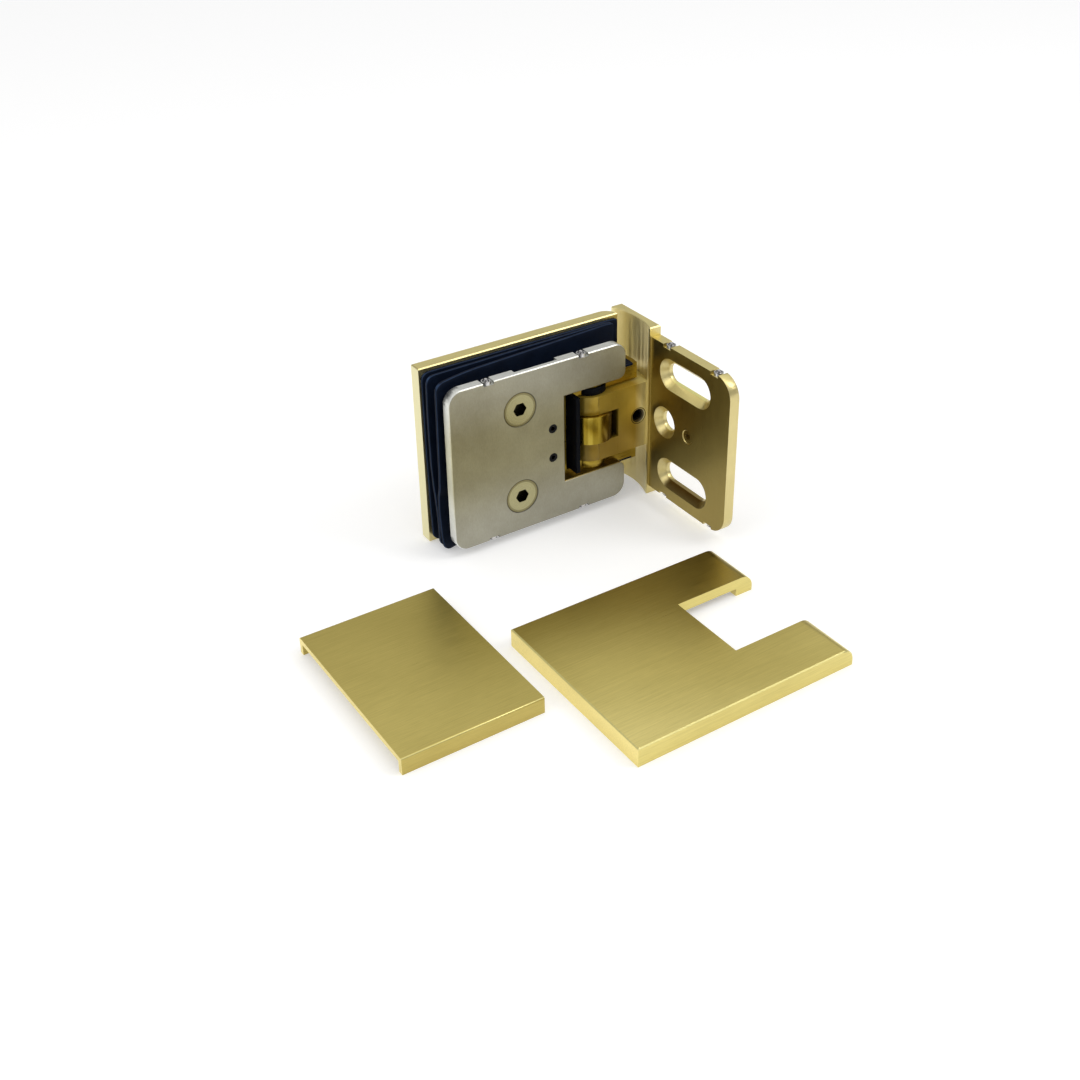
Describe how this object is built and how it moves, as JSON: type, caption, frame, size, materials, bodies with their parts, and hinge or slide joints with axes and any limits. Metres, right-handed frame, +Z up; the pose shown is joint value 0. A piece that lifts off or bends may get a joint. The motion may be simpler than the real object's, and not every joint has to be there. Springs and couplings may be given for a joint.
{
  "type": "glass door hinge",
  "caption": "Double-acting glass door hinge: a notched clamp for the glass swings on a wall plate, with its two covers lying beside it.",
  "frame": {"origin": "centre of the round wall screw hole, on the face that meets the wall, at mid height", "axes": "+X into the wall, +Y to the outer side of the door, +Z up along the pivot"},
  "size_m": [0.2005, 0.1877, 0.09],
  "materials": {
    "satin_brass": "fine brushed satin",
    "cast_brass": "plain machined",
    "screw_brass": "plated satin",
    "bright_steel": "polished",
    "brushed_plate": "satin",
    "black_rubber": "smooth",
    "black_plastic": "smooth",
    "black_steel": "blackened"
  },
  "bodies": {
    "leaf": {"back_plate": "satin_brass", "hinge_body": "cast_brass", "clamp_plate": "brushed_plate", "gasket_back": "black_rubber", "gasket_middle": "black_rubber", "gasket_front": "black_rubber", "clamp_screw_upper": "screw_brass", "clamp_screw_lower": "screw_brass", "small_screw_upper": "black_steel", "small_screw_lower": "black_steel", "bush_upper": "black_plastic", "bush_lower": "cast_brass", "body_seal_upper": "black_rubber", "body_seal_lower": "black_rubber", "bore_plug_upper": "black_steel", "bore_plug_lower": "black_steel", "pusher_spring_upper": "bright_steel", "pusher_spring_lower": "bright_steel", "leaf_plunger_upper_1": "bright_steel", "leaf_plunger_upper_2": "bright_steel", "leaf_plunger_lower_1": "bright_steel", "leaf_plunger_lower_2": "bright_steel", "leaf_cover": "satin_brass", "wall_cover": "satin_brass"},
    "wall_side": {"wall_bracket": "satin_brass", "cam_sleeve": "cast_brass", "pivot_pin": "bright_steel", "arm_set_screw": "black_steel", "wall_plug_screw": "cast_brass", "wall_plunger_upper_1": "bright_steel", "wall_plunger_upper_2": "bright_steel", "wall_plunger_lower_1": "bright_steel", "wall_plunger_lower_2": "bright_steel"},
    "pusher": {"pusher_pad": "black_plastic", "pusher_rod_upper": "bright_steel", "pusher_rod_lower": "bright_steel"},
    "wall_ball_upper_1": {"wall_ball_upper_1": "bright_steel"},
    "wall_ball_upper_2": {"wall_ball_upper_2": "bright_steel"},
    "wall_ball_lower_1": {"wall_ball_lower_1": "bright_steel"},
    "wall_ball_lower_2": {"wall_ball_lower_2": "bright_steel"},
    "leaf_ball_upper_1": {"leaf_ball_upper_1": "bright_steel"},
    "leaf_ball_upper_2": {"leaf_ball_upper_2": "bright_steel"},
    "leaf_ball_lower_1": {"leaf_ball_lower_1": "bright_steel"},
    "leaf_ball_lower_2": {"leaf_ball_lower_2": "bright_steel"}
  },
  "joints": [
    {"name": "door_swing", "type": "hinge", "parent": "leaf", "child": "wall_side", "pos_m": [-0.0335, 0.0223, 0], "axis": [0, 0, 1], "range_deg": [-90, 90], "stiffness_Nm_per_rad": 0.5},
    {"name": "pusher_slide", "type": "slide", "parent": "leaf", "child": "pusher", "axis": [1, 0, 0], "range_m": [-0.0015, 0], "stiffness_N_per_m": 400, "springref_m": 0.002, "deforming": ["pusher_spring_upper", "pusher_spring_lower"]},
    {"name": "wall_ball_upper_1_press", "type": "slide", "parent": "wall_side", "child": "wall_ball_upper_1", "axis": [0, 0, 1], "range_m": [-0.0007, 0], "stiffness_N_per_m": 50, "springref_m": 0.0005},
    {"name": "wall_ball_upper_2_press", "type": "slide", "parent": "wall_side", "child": "wall_ball_upper_2", "axis": [0, 0, 1], "range_m": [-0.0007, 0], "stiffness_N_per_m": 50, "springref_m": 0.0005},
    {"name": "wall_ball_lower_1_press", "type": "slide", "parent": "wall_side", "child": "wall_ball_lower_1", "axis": [0, 0, -1], "range_m": [-0.0007, 0], "stiffness_N_per_m": 50, "springref_m": 0.0005},
    {"name": "wall_ball_lower_2_press", "type": "slide", "parent": "wall_side", "child": "wall_ball_lower_2", "axis": [0, 0, -1], "range_m": [-0.0007, 0], "stiffness_N_per_m": 50, "springref_m": 0.0005},
    {"name": "leaf_ball_upper_1_press", "type": "slide", "parent": "leaf", "child": "leaf_ball_upper_1", "axis": [0, 0, 1], "range_m": [-0.0007, 0], "stiffness_N_per_m": 50, "springref_m": 0.0005},
    {"name": "leaf_ball_upper_2_press", "type": "slide", "parent": "leaf", "child": "leaf_ball_upper_2", "axis": [0, 0, 1], "range_m": [-0.0007, 0], "stiffness_N_per_m": 50, "springref_m": 0.0005},
    {"name": "leaf_ball_lower_1_press", "type": "slide", "parent": "leaf", "child": "leaf_ball_lower_1", "axis": [0, 0, -1], "range_m": [-0.0007, 0], "stiffness_N_per_m": 50, "springref_m": 0.0005},
    {"name": "leaf_ball_lower_2_press", "type": "slide", "parent": "leaf", "child": "leaf_ball_lower_2", "axis": [0, 0, -1], "range_m": [-0.0007, 0], "stiffness_N_per_m": 50, "springref_m": 0.0005}
  ]
}
